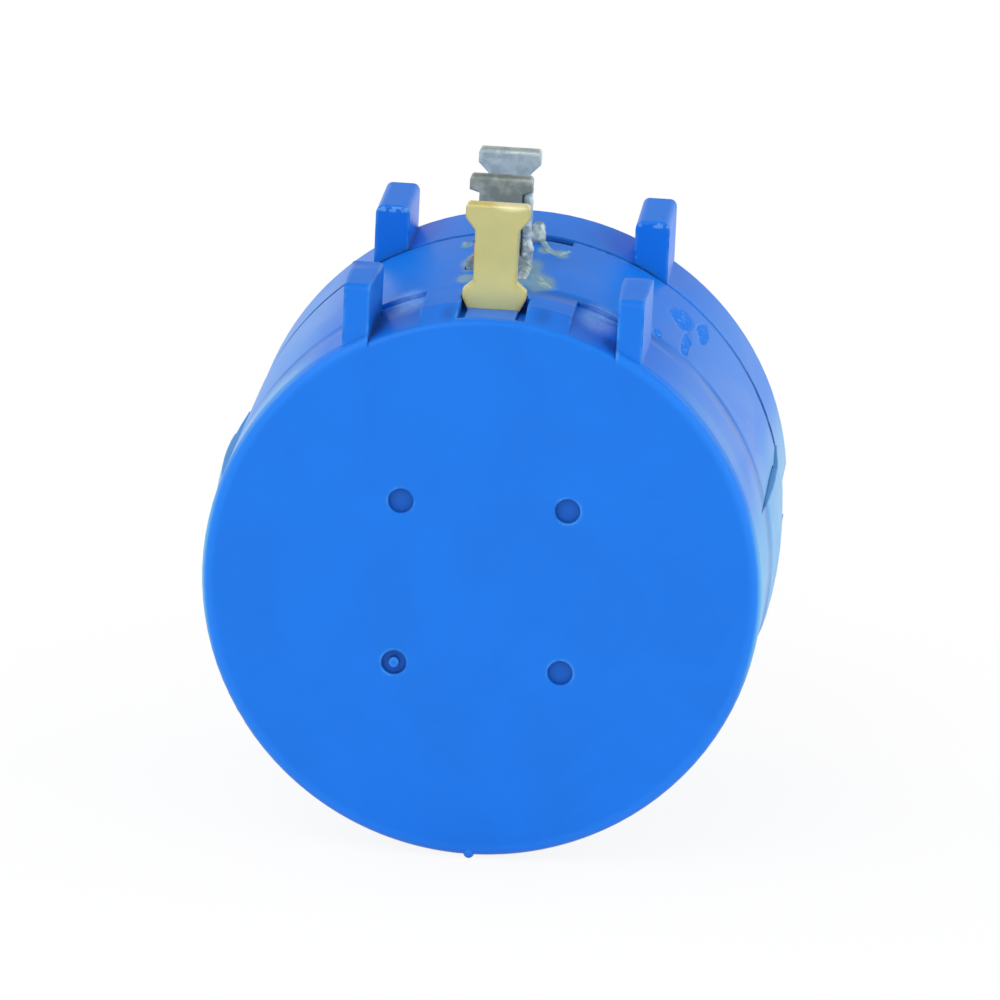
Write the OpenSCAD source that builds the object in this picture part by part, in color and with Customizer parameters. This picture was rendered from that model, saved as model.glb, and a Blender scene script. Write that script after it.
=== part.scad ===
// Ten-turn wirewound potentiometer in a round moulded case.
// The shaft runs along +Y, the terminals stand up along +Z, and the origin
// is the centre of the mounting face. The rear face looks towards -Y.

/* [Case] */
// Outer diameter of the moulded case
body_d = 22.25; // [18:0.05:27]
// Depth of the case behind the mounting face
body_len = 19.05; // [15.8:0.05:23]
// Length of the front lid's ring, from the mounting face to the seam
lid_len = 4.6; // [3.8:0.1:5.6]
// Wall between the case's outside and its bore
case_wall = 1.575; // [1.3:0.025:1.9]
// Thickness of the rear wall
rear_wall = 1.2; // [1:0.05:1.5]
// Thickness of the lid's front wall
front_wall = 2.4; // [2:0.1:2.9]
// Radius on the outer edge of the rear face
rim_round = 0.45; // [0.2:0.01:0.5]
// Gap left by the joint between cup and lid
seam_gap = 0.14; // [0.06:0.01:0.16]
// Chamfer on both edges of that joint
seam_edge = 0.17; // [0.06:0.01:0.2]

/* [Terminal bay] */
// Half of the clear width between the two rear guard posts
bay_half = 4.9; // [4:0.1:5.4]
// Length of the two sunk corners beside the rear guard posts
bay_len = 4.85; // [3.8:0.05:5.6]
// How far the rim between those posts lies below the case's outside
bay_depth = 0.3; // [0.22:0.02:0.4]
// Radius on the edge of that rim
bay_round = 0.28; // [0.14:0.02:0.34]
// Half width of the ramp that rises from that rim between the sunk corners
ramp_half = 3; // [2.6:0.1:3.5]
// Length of the ramp
ramp_len = 2.1; // [1.6:0.1:2.5]
// How far the guard posts rise above the case's diameter
post_rise = 0.775; // [0.4:0.025:1.2]
// Width of a rear post at the rear face
rear_post_w = 1.03; // [0.8:0.01:1.25]
// Length of a rear post
rear_post_len = 4.35; // [3.6:0.05:5.2]
// How far ahead of the rear face a rear post starts
rear_post_set = 0.25; // [0.1:0.05:0.4]
// Width of a front post
front_post_w = 1.4; // [1.1:0.05:1.7]
// Radius on the long edges of a front post
post_round = 0.34; // [0.1:0.02:0.5]
// Radius on the end edges of the front posts
post_end_round = 0.14; // [0.05:0.01:0.2]
// Radius on the top edges of the rear posts
rear_post_round = 0.3; // [0.1:0.02:0.4]

/* [Solder lugs] */
// Distance from the rear face to the wiper lug
lug_from_rear = 3.17; // [2.7:0.01:3.6]
// Distance from the seam back to the clockwise lug
lug_from_seam = 1.12; // [0.9:0.01:1.3]
// Thickness of the lug sheet
lug_t = 0.7; // [0.5:0.02:0.8]
// Height of a lug above its seat
lug_h = 4.42; // [3.6:0.02:5.4]
// Width of a lug's head and of its foot
lug_head_w = 2.52; // [2.2:0.02:2.9]
// Width of a lug's waist
lug_waist_w = 1.72; // [1.2:0.02:1.9]
// Sideways set of the wiper, counter-clockwise and clockwise lugs
lug_set = [-0.2, -0.47, -0.53];

/* [Clip arms] */
// Width of each side arm of the lid
arm_w = 5.3; // [4.6:0.1:5.6]
// Length of each side arm behind the seam
arm_len = 10.4; // [8.6:0.1:11]
// Thickness of each side arm at its root
arm_t = 0.78; // [0.6:0.02:0.9]
// Length of the wider root of each side arm
arm_root = 2.45; // [2:0.05:3]
// How far the right and the left arm's root stands proud of the case
arm_rise = [0.04, 0.12]; // [0:0.01:0.15]
// How far the right and the left arm bow out at their middle
arm_bow = [0.2, 0.27]; // [0.05:0.01:0.3]
// How much closer to the axis an arm's free end lies than its root
arm_lean = 0.08; // [0:0.02:0.16]
// Gap between each side arm and its pocket
arm_gap = 0.1; // [0.05:0.01:0.15]
// Depth of the barb that holds the arm in the cup
barb_depth = 0.3; // [0.2:0.02:0.4]

/* [Bushing and shaft] */
// Major diameter of the mounting thread
bushing_d = 9.525; // [8:0.005:11.5]
// Length of the bushing in front of the mounting face
bushing_len = 7.93; // [6.5:0.01:9.6]
// Diameter of the shaft
shaft_d = 6.34; // [5.2:0.01:7.6]
// Reach of the shaft from the mounting face
shaft_reach = 20.62; // [17:0.01:25]
// Width of the screwdriver slot
slot_w = 1.19; // [0.9:0.01:1.5]
// Depth of the screwdriver slot
slot_deep = 1.57; // [1.2:0.01:1.9]
// Chamfer at the end of the shaft
shaft_chamfer = 0.8; // [0.4:0.05:1]

/* [Winding and wiper] */
// Number of turns of the resistance element
turns = 10; // [3:1:10]
// Space between neighbouring turns
turn_gap = 0.2; // [0.15:0.01:0.3]
// Space between the rotor and the inside of the element
rotor_gap = 1.3; // [1.2:0.05:1.6]
// Width of the carriage
carriage_w = 2.9; // [2.4:0.1:3.4]
// Length of the carriage along the shaft
carriage_len = 1.5; // [1.3:0.05:1.8]
// Thickness of the spring and strap strip
strip_t = 0.16; // [0.1:0.02:0.2]

/* [Clearances] */
// Radial clearance of the shaft in the bushing and of the rotor in its boss
running = 0.03; // [0.02:0.01:0.06]
// Clearance between parts that are pushed together
push_fit = 0.05; // [0.03:0.01:0.08]
// Clearance between parts that slide or pass each other
sliding = 0.05; // [0.04:0.01:0.08]

/* [Hidden] */
$fn = 96;
tiny = 0.01;

// Case
body_r = body_d / 2;
bore_r = body_r - case_wall;
y_rear = -body_len;
y_seam = -lid_len;
y_floor = y_rear + rear_wall;
y_front = -front_wall;
bay_r = body_r - bay_depth;
post_top = body_r + post_rise;
spigot_wall = 0.72;
spigot_r = bore_r + spigot_wall;

// Solder lugs
lug_seat = body_r - 0.675;
lug_pitch = (body_len - lid_len - lug_from_rear - lug_from_seam) / 2;
lug_y = [for (i = [0:2]) y_rear + lug_from_rear + i * lug_pitch];
strap_r = bore_r + 0.06;
lug_leg_end = [bore_r - 0.05, strap_r + strip_t, strap_r + strip_t];
lug_round = 0.2;
lug_taper = 0.6;
lug_base_h = 0.88;
lug_head_h = 0.58;
lug_neck = [0.5, 0.12, 0.4];
lug_foot_in = 0.3;
lug_ledge = 0.11;
lug_leg_w = lug_head_w - 2 * (lug_foot_in + lug_ledge);
lug_foot_rise = 0.35;

// Clip arms
arm_under = 0.13;
arm_floor = body_r - arm_under - arm_t;
arm_end = y_seam - arm_len;
barb_len = 1;

// Bushing and shaft
bushing_r = bushing_d / 2;
shaft_r = shaft_d / 2;
bushing_bore_r = shaft_r + running;
flange_r = bushing_r + 1.75;
flange_t = 1.2;
spline_r = shaft_r - 0.77;
groove_r = shaft_r - 0.57;
relief_w = 0.5;
relief_r = shaft_r - 0.17;
collar_r = bushing_r + 0.45;
washer_t = 0.3;
spring_rise = 0.3;
ring_t = 0.4;
ring_to_rotor = 0.26;
y_washer = y_front - washer_t;
y_spring = y_washer - 0.02 - spring_rise;
y_ring = y_spring - 0.02 - ring_t;

// Rotor and its slot
y_rotor_front = y_ring - ring_to_rotor;
y_rotor_rear = y_floor + 1.55;
end_wall = 0.5;
slot_front = y_rotor_front - end_wall;
slot_rear = y_rotor_rear + end_wall;
slot_floor = spline_r + 1.8;
journal_r = 2;
journal_depth = 0.15;
boss_r = journal_r + 0.9;
boss_len = 0.75;
disc_t = 0.25;
disc_in = journal_r + 0.3;
bar_w = 1.2;

// Resistance element: its ends lie where the carriage meets the slot's ends
travel = slot_front - slot_rear - carriage_len - 2 * sliding;
pitch = travel / turns;
coil_d = pitch - turn_gap;
coil_r = bore_r - push_fit - coil_d / 2;
crest_r = coil_r - coil_d / 2;
rotor_r = crest_r - rotor_gap;
disc_r = rotor_r - 1.9;
y_ccw = slot_rear + sliding + carriage_len / 2;
y_cw = y_ccw + travel;
lead_in = 13;           // degrees of element past each end of travel
strap_turn = 10.5;      // degrees from the top to each end strap
steps_per_turn = 32;
coil_sides = 8;
skin_r = coil_d / 2 / cos(180 / coil_sides);

blue = [0.12, 0.42, 0.90];
silver = [0.74, 0.76, 0.78];
gold = [0.80, 0.72, 0.40];
copper = [0.72, 0.45, 0.30];
black = [0.16, 0.16, 0.17];
ivory = [0.88, 0.86, 0.78];

// ---- Forms along the three axes ----

// Turned work: what is drawn along +Z runs along +Y from y
module along_y(y) { translate([0, y, 0]) rotate([-90, 0, 0]) children(); }
module rod(r, y0, y1) { along_y(y0) cylinder(r = r, h = y1 - y0); }
module tube(r_out, r_in, y0, y1) {
    difference() {
        rod(r_out, y0, y1);
        rod(r_in, y0 - 1, y1 + 1);
    }
}
// A profile in X and Z, extruded along Y
module prism_y(y0, y1) {
    translate([0, y1, 0]) rotate([90, 0, 0]) linear_extrude(y1 - y0) children();
}
// A profile in Y and Z, extruded along X
module prism_x(x0, x1) {
    translate([x0, 0, 0]) rotate([90, 0, 90]) linear_extrude(x1 - x0) children();
}
// A plan in X and Y, extruded along Z
module prism_z(z0, z1) { translate([0, 0, z0]) linear_extrude(z1 - z0) children(); }
// Turns a form about the shaft's axis, from +Z towards +X
module about_shaft(angle) { rotate([0, angle, 0]) children(); }
// A band round the shaft's axis between two angles counted from +Z towards +X
module sector(r_in, r_out, y0, y1, from, to) {
    along_y(y0) rotate([0, 0, from - 90]) rotate_extrude(angle = to - from)
        translate([r_in, 0]) square([r_out - r_in, y1 - y0]);
}
// A rectangle with its base on the X axis and its two top corners round
module round_top(w, h, r) {
    translate([-w / 2, 0]) square([w, h - r]);
    translate([-w / 2 + r, 0]) square([w - 2 * r, h]);
    for (s = [-1, 1]) translate([s * (w / 2 - r), h - r]) circle(r);
}
module both_sides() { children(); mirror([1, 0, 0]) children(); }

// ---- Rear cup ----

// Turned outside of the cup, with the round edge of its rear face
module cup_outside(r, edge) {
    len = body_len - lid_len - seam_gap / 2;
    along_y(y_rear) rotate_extrude() {
        square([r - edge, len]);
        translate([0, edge])
            polygon([[0, 0], [r, 0], [r, len - edge - seam_edge],
                     [r - seam_edge, len - edge], [0, len - edge]]);
        translate([r - edge, edge]) circle(edge);
    }
}

// Guard post on the cup: it widens a little away from the rear face
module rear_post() {
    grow = 0.15;
    y0 = y_rear + rear_post_set;
    y1 = y0 + rear_post_len;
    intersection() {
        prism_z(body_r / 2, post_top)
            polygon([[bay_half, y0], [bay_half + rear_post_w, y0],
                     [bay_half + rear_post_w + grow / 2, y1], [bay_half - grow, y1]]);
        translate([bay_half + rear_post_w / 2, 0, 0]) prism_y(y0 - 1, y1 + 1)
            round_top(rear_post_w + 2 * grow, post_top, rear_post_round);
        translate([0, y0 + rear_post_len / 2, 0])
            prism_x(0, body_r) round_top(rear_post_len, post_top, rear_post_round);
    }
}

// What is taken off between the rear posts: two sunk corners and a ramp from the round rim,
// with a notch in front of the wiper lug that leaves a low pad under it
module bay() {
    floor_rise = 0.12;
    pad_half = 1;
    pad_rise = 0.2;
    notch_half = 1.34;
    notch_set = 0.08;
    notch_start = 0.45;
    difference() {
        translate([-bay_half, y_rear - 1, body_r / 2])
            cube([2 * bay_half, bay_len + 1, body_r]);
        cup_outside(bay_r, bay_round);
        along_y(y_rear + bay_round)
            cylinder(r1 = bay_r, r2 = bay_r + floor_rise, h = bay_len - bay_round + tiny);
        intersection() {
            translate([-ramp_half, y_rear, 0]) cube([2 * ramp_half, bay_len + 1, 2 * body_r]);
            union() {
                along_y(y_rear + bay_round)
                    cylinder(r1 = bay_r, r2 = body_r + tiny, h = ramp_len - bay_round);
                rod(body_r + 1, y_rear + ramp_len, y_rear + bay_len + 1);
            }
        }
    }
    difference() {
        translate([lug_set[0] + notch_set - notch_half, y_rear + notch_start, lug_seat])
            cube([2 * notch_half, lug_from_rear - notch_start, 2]);
        translate([lug_set[0] - pad_half, y_rear, 0])
            cube([2 * pad_half, lug_from_rear, lug_seat + pad_rise]);
    }
}

// Seat and slot that one lug is pushed into
module lug_pocket(i) {
    translate([lug_set[i], lug_y[i], 0]) {
        translate([-lug_head_w / 2 - push_fit, -lug_t / 2 - push_fit, lug_seat])
            cube([lug_head_w + 2 * push_fit, lug_t + 2 * push_fit, case_wall]);
        translate([-lug_leg_w / 2 - push_fit, -lug_t / 2 - push_fit, bore_r - 1])
            cube([lug_leg_w + 2 * push_fit, lug_t + 2 * push_fit, case_wall + 1]);
    }
}

// Outline of a clip arm in Y and Z: a root that narrows, then the plate
module arm_outline(grow) {
    root_flare = 0.2;
    neck_in = 0.15;
    neck_len = 0.3;
    plate = arm_w / 2 + grow;
    root = plate + root_flare;
    neck = plate - neck_in;
    y_neck = y_seam - arm_root;
    y0 = arm_end - grow;
    polygon([[y_seam + 1, root], [y_seam, root], [y_neck, neck], [y_neck - neck_len, plate],
             [y0, plate], [y0, -plate], [y_neck - neck_len, -plate], [y_neck, -neck],
             [y_seam, -root], [y_seam + 1, -root]]);
}

// Pocket in the cup's side for a clip arm, with the recess its barb snaps into
module arm_pocket() {
    half = arm_w / 2 + push_fit;
    prism_x(arm_floor - push_fit, body_r + 1) arm_outline(arm_gap);
    translate([arm_floor - barb_depth - push_fit, arm_end + barb_len - push_fit, -half])
        cube([1, barb_len + 2 * push_fit, 2 * half]);
}

// Channel inside the wall for an end strap: along the case, then across to its lug
module strap_channel(side, y_end, y_lug) {
    w = 1.2;
    y0 = min(y_end, y_lug) - 0.5;
    y1 = max(y_end, y_lug) + 0.5;
    about_shaft(side * strap_turn)
        translate([-w / 2, y0, bore_r - 0.3]) cube([w, y1 - y0, 0.7]);
    sector(bore_r - 0.3, bore_r + 0.4, y_lug - 0.5, y_lug + 0.5,
           side > 0 ? -6 : -15, side > 0 ? 15 : 6);
}

// Short slot in the cup's edge, beside the clockwise lug
module seam_slot() {
    translate([1, y_seam - 1, body_r - 0.7]) cube([1.15, 1.4, 2]);
}

// Small marks that the mould leaves: four dimples, two pits and the gate's nib
module mould_marks() {
    for (x = [-1, 1], z = [-1, 1]) translate([x * 3.31, 0, z * 3.31]) difference() {
        rod(0.5, y_rear - 1, y_rear + 0.28);
        if (x < 0 && z < 0) rod(0.2, y_rear - 1, y_rear + 0.5);
    }
    for (p = [[2.55, -6.1], [4.2, -6.4]]) translate([p[0], p[1], body_r - 0.25])
        cylinder(r = 0.13, h = 1);
}

module rear_cup() {
    color(blue) {
        difference() {
            union() {
                difference() {
                    cup_outside(body_r, rim_round);
                    bay();
                }
                both_sides() rear_post();
                rod(spigot_r, y_seam - 1, y_front - push_fit);
                translate([0, y_rear + 0.2, 0.12 - body_r]) sphere(r = 0.22);
            }
            rod(bore_r, y_floor, 1);
            rod(journal_r + running, y_floor - journal_depth - push_fit, y_floor + 1);
            both_sides() arm_pocket();
            for (i = [0:2]) lug_pocket(i);
            strap_channel(1, y_ccw, lug_y[1]);
            strap_channel(-1, y_cw, lug_y[2]);
            seam_slot();
            mould_marks();
        }
        difference() {
            rod(boss_r, y_floor - tiny, y_floor + boss_len);
            rod(journal_r + running, y_floor - 1, y_floor + 1);
        }
    }
}

// ---- Front lid ----

module front_post() {
    y0 = y_seam + seam_gap / 2;
    intersection() {
        prism_y(y0, 0) translate([bay_half - 0.3 + front_post_w / 2, 0])
            round_top(front_post_w, post_top, post_round);
        translate([0, y0 / 2, 0]) prism_x(0, body_r) round_top(-y0, post_top, post_end_round);
    }
}

// Side arm: part of a round shell that bows out a little and leans in towards its free end.
// A crease across it parts the root from the plate.
module clip_arm(rise, bow) {
    steps = 8;
    crease = 0.14;
    function arm_r(t) = body_r + rise - arm_lean * t + 4 * bow * t * (1 - t);
    difference() {
        intersection() {
            prism_x(arm_floor, body_r + 1) arm_outline(0);
            union() {
                along_y(arm_end) rotate_extrude()
                    polygon(concat([[0, arm_len], [0, 0]],
                            [for (i = [0:steps]) [arm_r(1 - i / steps), arm_len * i / steps]]));
                rod(arm_r(0), y_seam - tiny, y_seam + seam_gap + seam_edge);
            }
        }
        along_y(y_seam - arm_root - crease) rotate_extrude()
            polygon([[body_r - 0.03, crease], [body_r + 1, 0], [body_r + 1, 2 * crease]]);
    }
    translate([arm_floor - barb_depth, arm_end + barb_len, -arm_w / 2])
        linear_extrude(arm_w) barb();
}
// The barb is square at its catch and sloped where it rides over the cup
module barb() {
    polygon([[0, barb_len * 0.6], [0, barb_len], [barb_depth + tiny, barb_len],
             [barb_depth + tiny, 0]]);
}

module front_lid() {
    lid_r = body_r - 0.02;
    edge = 0.3;
    len = lid_len - seam_gap / 2;
    color(blue) difference() {
        union() {
            along_y(y_seam + seam_gap / 2) rotate_extrude() {
                polygon([[0, 0], [lid_r - seam_edge, 0], [lid_r, seam_edge], [lid_r, len - edge],
                         [lid_r - edge, len - edge], [lid_r - edge, len], [0, len]]);
                translate([lid_r - edge, len - edge]) circle(edge);
            }
            both_sides() front_post();
            clip_arm(arm_rise[0], arm_bow[0]);
            mirror([1, 0, 0]) clip_arm(arm_rise[1], arm_bow[1]);
        }
        rod(spigot_r + push_fit, y_seam - 1, y_front);
        rod(collar_r, -front_wall - 1, 1);
        along_y(y_front - 1) cylinder(r = flange_r, h = flange_t + 1, $fn = 12);
        both_sides() translate([body_r - 0.22, y_seam + 1.4, -1.1]) cube([1, lid_len, 2.2]);
    }
}

// ---- Bushing, shaft and what holds the shaft ----

module bushing() {
    lead = 0.5;
    color(silver) difference() {
        union() {
            rod(bushing_r, 0, bushing_len - lead);
            rod(collar_r, y_front, 0);
            along_y(bushing_len - lead) cylinder(r1 = bushing_r, r2 = bushing_r - lead, h = lead);
            along_y(y_front) cylinder(r = flange_r, h = flange_t, $fn = 12);
        }
        rod(bushing_bore_r, y_front - 1, bushing_len + 1);
    }
}

module shaft() {
    spline_len = 0.72 * (y_rotor_front - y_rotor_rear);
    color(silver) difference() {
        union() {
            rod(shaft_r, y_rotor_front, shaft_reach - shaft_chamfer);
            along_y(shaft_reach - shaft_chamfer)
                cylinder(r1 = shaft_r, r2 = shaft_r - shaft_chamfer, h = shaft_chamfer);
            rod(spline_r, y_rotor_front - spline_len, y_rotor_front + tiny);
        }
        tube(shaft_r + 1, groove_r, y_ring - sliding / 2, y_ring + ring_t + sliding / 2);
        tube(shaft_r + 1, relief_r, bushing_len - relief_w, bushing_len);
        translate([-slot_w / 2, shaft_reach - slot_deep, -shaft_r - 1])
            cube([slot_w, slot_deep + 1, 2 * shaft_r + 2]);
    }
}

module retaining_ring() {
    color(silver) difference() {
        sector(groove_r + push_fit / 2, shaft_r + 1.2, y_ring, y_ring + ring_t, -130, 130);
        for (s = [-1, 1]) about_shaft(s * 118)
            translate([0, 0, (groove_r + shaft_r + 1.2) / 2]) rod(0.35, y_ring - 1, y_ring + 1);
    }
}

module thrust_washer() {
    color(ivory) tube(shaft_r + 2.4, shaft_r + 0.08, y_washer, y_front);
}

// Dished washer: its inner edge bears on the retaining ring
module spring_washer() {
    thick = 0.12;
    r_in = shaft_r + 0.1;
    r_out = shaft_r + 2;
    color(silver) along_y(y_spring) rotate_extrude()
        polygon([[r_in, 0], [r_in + 0.2, 0], [r_out, spring_rise - thick],
                 [r_out, spring_rise], [r_out - 0.2, spring_rise], [r_in, thick]]);
}

// ---- Rotor with its slot, slip disc and collector bar ----

module rotor() {
    half = carriage_w / 2 + sliding;
    spline_len = 0.72 * (y_rotor_front - y_rotor_rear);
    color(ivory) difference() {
        union() {
            rod(rotor_r, y_rotor_rear, y_rotor_front);
            rod(journal_r, y_floor - journal_depth, y_rotor_rear + tiny);
        }
        rod(spline_r, y_rotor_front - spline_len, 1);
        translate([-half, slot_rear, slot_floor])
            cube([2 * half, slot_front - slot_rear, 2 * rotor_r]);
        translate([-bar_w / 2, y_rotor_rear - 1, slot_floor - strip_t])
            cube([bar_w, slot_front - y_rotor_rear + 1, strip_t + tiny]);
    }
}

module slip_disc() { color(gold) tube(disc_r, disc_in, y_rotor_rear - disc_t, y_rotor_rear); }

module collector_bar() {
    color(gold) translate([-bar_w / 2, y_rotor_rear, slot_floor - strip_t])
        cube([bar_w, slot_front - y_rotor_rear, strip_t]);
}

// ---- Carriage, which the element leads along the slot, and its contact ----

contact_w = 0.7;
nose_h = 0.35;
carriage_top = crest_r - 0.3;
module wiper_carriage() {
    color(black) difference() {
        union() {
            translate([-carriage_w / 2, y_ccw - carriage_len / 2, slot_floor + 0.35])
                cube([carriage_w, carriage_len, carriage_top - slot_floor - 0.35]);
            // two noses on each side of the contact run between the turns
            for (sx = [-1, 1], sy = [-1, 1])
                translate([sx * 0.68, y_ccw + sy * pitch / 2, carriage_top - tiny])
                    prism_x(-0.2, 0.2) polygon([[-0.2, 0], [0.2, 0], [0.1, nose_h], [-0.1, nose_h]]);
        }
        translate([-contact_w / 2 - sliding / 2, y_ccw - 0.5, slot_floor])
            cube([contact_w + sliding, 0.5 + strip_t / 2 + sliding / 2, rotor_r]);
    }
}

// One strip: a finger under the element, a web through the carriage, a finger on the bar
module wiper_contact() {
    tip_r = 0.18;
    top = crest_r - 0.1;
    low = slot_floor + sliding;
    color(gold) prism_x(-contact_w / 2, contact_w / 2) translate([y_ccw, 0]) {
        translate([0, top - tip_r]) circle(tip_r);
        translate([-strip_t / 2, low + tip_r]) square([strip_t, top - low - 2 * tip_r]);
        translate([-0.28, low + 0.5]) square([0.28, strip_t]);
        translate([0, low + tip_r]) circle(tip_r);
    }
}

// ---- Resistance element: resistance wire wound on a rod, coiled into a helix ----

// Point on the element's skin: n rings along it, side k of its section
function coil_angle(n) = lead_in - 360 * n / steps_per_turn;
function coil_y(a) = y_ccw - pitch * a / 360;
function skin(n, k) =
    let (a = coil_angle(n), q = 360 * (k + 0.5) / coil_sides,
         r = coil_r + skin_r * cos(q))
    [r * sin(a), coil_y(a) + skin_r * sin(q), r * cos(a)];

module element_coil() {
    rings = ceil((360 * turns + 2 * lead_in) / 360 * steps_per_turn);
    m = coil_sides;
    points = [for (n = [0:rings], k = [0:m - 1]) skin(n, k)];
    sides = [for (n = [0:rings - 1], k = [0:m - 1])
        let (a = n * m + k, b = n * m + (k + 1) % m) [a, b, b + m, a + m]];
    ends = [[for (k = [m - 1:-1:0]) k], [for (k = [0:m - 1]) rings * m + k]];
    color(copper) polyhedron(points, concat(sides, ends));
}

// Strap from one end of the element to its lug: a cuff, a run along and a run across
module end_strap(side, y_end, y_lug) {
    w = 0.8;
    y0 = min(y_end, y_lug) - 0.35;
    y1 = max(y_end, y_lug) + 0.35;
    y_cuff = coil_y(0) + (y_end - y_ccw) - side * pitch * strap_turn / 360;
    about_shaft(side * strap_turn) {
        translate([-w / 2, y0, strap_r]) cube([w, y1 - y0, strip_t]);
        translate([0, y_cuff, coil_r]) difference() {
            union() {
                prism_x(-w / 2, w / 2) circle(skin_r + 0.07);
                translate([-w / 2, -0.15, 0]) cube([w, 0.3, strap_r - coil_r + tiny]);
            }
            prism_x(-w, w) circle(skin_r + 0.01);
        }
    }
    sector(strap_r, strap_r + strip_t, y_lug - 0.35, y_lug + 0.35,
           side > 0 ? -5 : -strap_turn - 2, side > 0 ? strap_turn + 2 : 5);
}
module ccw_end_strap() { color(silver) end_strap(1, y_ccw, lug_y[1]); }
module cw_end_strap() { color(silver) end_strap(-1, y_cw, lug_y[2]); }

// Leaf spring from the wiper lug's leg, behind the rotor, on to the slip disc
module wiper_brush() {
    top = lug_leg_end[0];
    y_tip = y_rotor_rear - disc_t - sliding;
    r_tip = (disc_r + disc_in) / 2;
    y_back = y_tip - 0.42;
    w = 1;
    color(gold) translate([lug_set[0], 0, 0]) prism_x(-w / 2, w / 2) {
        polygon([[lug_y[0] + lug_t / 2, top], [y_back - strip_t, top],
                 [y_back - strip_t, r_tip + 1], [y_tip - strip_t, r_tip],
                 [y_tip, r_tip], [y_back, r_tip + 1.2],
                 [y_back, top - strip_t], [lug_y[0] + lug_t / 2, top - strip_t]]);
        translate([y_tip - strip_t, r_tip]) circle(strip_t);
    }
}

// ---- Solder lugs ----

// Dog-bone outline with shoulders of the given height, its foot on the seat at zero height
module lug_outline(neck) {
    head = lug_head_w / 2;
    waist = lug_waist_w / 2;
    foot = head - lug_foot_in;
    z_head = lug_h - lug_head_h;
    for (s = [-1, 1]) polygon([[0, 0], [s * foot, 0], [s * head, lug_taper],
                               [s * head, lug_base_h], [s * waist, lug_base_h + lug_foot_rise],
                               [s * waist, z_head - neck], [s * head, z_head], [0, z_head]]);
    translate([0, z_head - tiny]) round_top(lug_head_w, lug_head_h + tiny, lug_round);
}

module lug(i) {
    leg = lug_seat - lug_leg_end[i];
    translate([lug_set[i], lug_y[i], lug_seat]) {
        intersection() {
            prism_y(-lug_t, lug_t) lug_outline(lug_neck[i]);
            prism_x(-lug_head_w, lug_head_w) round_top(lug_t, lug_h, lug_round);
        }
        translate([-lug_leg_w / 2, -lug_t / 2, -leg]) cube([lug_leg_w, lug_t, leg + tiny]);
    }
}
module wiper_terminal() { color(gold) lug(0); }
module ccw_terminal() { color(silver) lug(1); }
module cw_terminal() { color(silver) lug(2); }

rear_cup();
front_lid();
bushing();
shaft();
retaining_ring();
thrust_washer();
spring_washer();
rotor();
slip_disc();
collector_bar();
wiper_carriage();
wiper_contact();
element_coil();
ccw_end_strap();
cw_end_strap();
wiper_brush();
wiper_terminal();
ccw_terminal();
cw_terminal();
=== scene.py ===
from math import cos, pi, radians, sin

import bmesh
import bpy
from mathutils import Matrix, Vector, noise as relief


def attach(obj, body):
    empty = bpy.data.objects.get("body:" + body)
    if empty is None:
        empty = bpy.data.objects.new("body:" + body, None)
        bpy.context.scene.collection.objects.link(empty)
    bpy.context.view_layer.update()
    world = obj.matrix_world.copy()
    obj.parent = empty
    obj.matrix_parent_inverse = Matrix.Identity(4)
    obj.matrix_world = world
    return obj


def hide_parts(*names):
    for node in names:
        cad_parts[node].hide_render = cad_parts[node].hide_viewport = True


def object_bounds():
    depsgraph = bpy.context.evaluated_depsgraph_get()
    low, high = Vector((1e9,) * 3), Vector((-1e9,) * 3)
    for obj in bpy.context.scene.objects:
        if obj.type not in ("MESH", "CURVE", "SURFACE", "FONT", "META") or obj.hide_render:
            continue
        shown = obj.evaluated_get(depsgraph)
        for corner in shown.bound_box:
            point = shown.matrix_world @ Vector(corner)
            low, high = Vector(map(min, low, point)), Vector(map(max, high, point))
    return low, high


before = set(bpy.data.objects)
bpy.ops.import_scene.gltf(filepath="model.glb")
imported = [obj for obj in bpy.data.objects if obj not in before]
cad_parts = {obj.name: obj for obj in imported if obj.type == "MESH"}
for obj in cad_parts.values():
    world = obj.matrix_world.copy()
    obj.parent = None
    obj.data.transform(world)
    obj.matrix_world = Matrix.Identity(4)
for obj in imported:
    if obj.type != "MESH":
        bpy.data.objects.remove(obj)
cad_box = [list(corner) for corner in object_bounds()]


# ---- The moulded case ----
# A deep cup and a lid of glass-filled blue plastic, moulded in two tools and snapped together.
# The skin is satin, with a fine grain, faint flow clouds and a few scuffs, and colour painted on it
# for light and shade: highlights on its edges, rim and flanks, and shade in its gaps and corners.

MM = 0.001


def part_material(name):
    """A new material, its node tree and its Principled shader."""
    material = bpy.data.materials.new(name)
    material.use_nodes = True
    tree = material.node_tree
    return material, tree, tree.nodes["Principled BSDF"]


def effect(name, inputs, outputs):
    """A shader node group with plain number inputs, its entry and its exit."""
    group = bpy.data.node_groups.new(name, "ShaderNodeTree")
    number = "NodeSocketFloat"
    for socket, value in inputs.items():
        made = group.interface.new_socket(socket, in_out="INPUT", socket_type=number)
        made.default_value = value
    for socket in outputs:
        group.interface.new_socket(socket, in_out="OUTPUT", socket_type=number)
    entry = group.nodes.new("NodeGroupInput").outputs
    leave = group.nodes.new("NodeGroupOutput").inputs
    return group, entry, leave


def use_effect(tree, group, **values):
    """Puts a node group in a material with its own values."""
    node = tree.nodes.new("ShaderNodeGroup")
    node.node_tree = group
    for socket, value in values.items():
        node.inputs[socket].default_value = value
    return node.outputs


def feed(tree, socket, value):
    """Gives a socket a number or a colour, or links another node's output to it."""
    if isinstance(value, bpy.types.NodeSocket):
        tree.links.new(value, socket)
    else:
        socket.default_value = value


def coat(tree, shader, colour, roughness, normal):
    """Gives a shader the three things that change over the surface."""
    tree.links.new(colour, shader.inputs["Base Color"])
    tree.links.new(roughness, shader.inputs["Roughness"])
    tree.links.new(normal, shader.inputs["Normal"])


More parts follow.
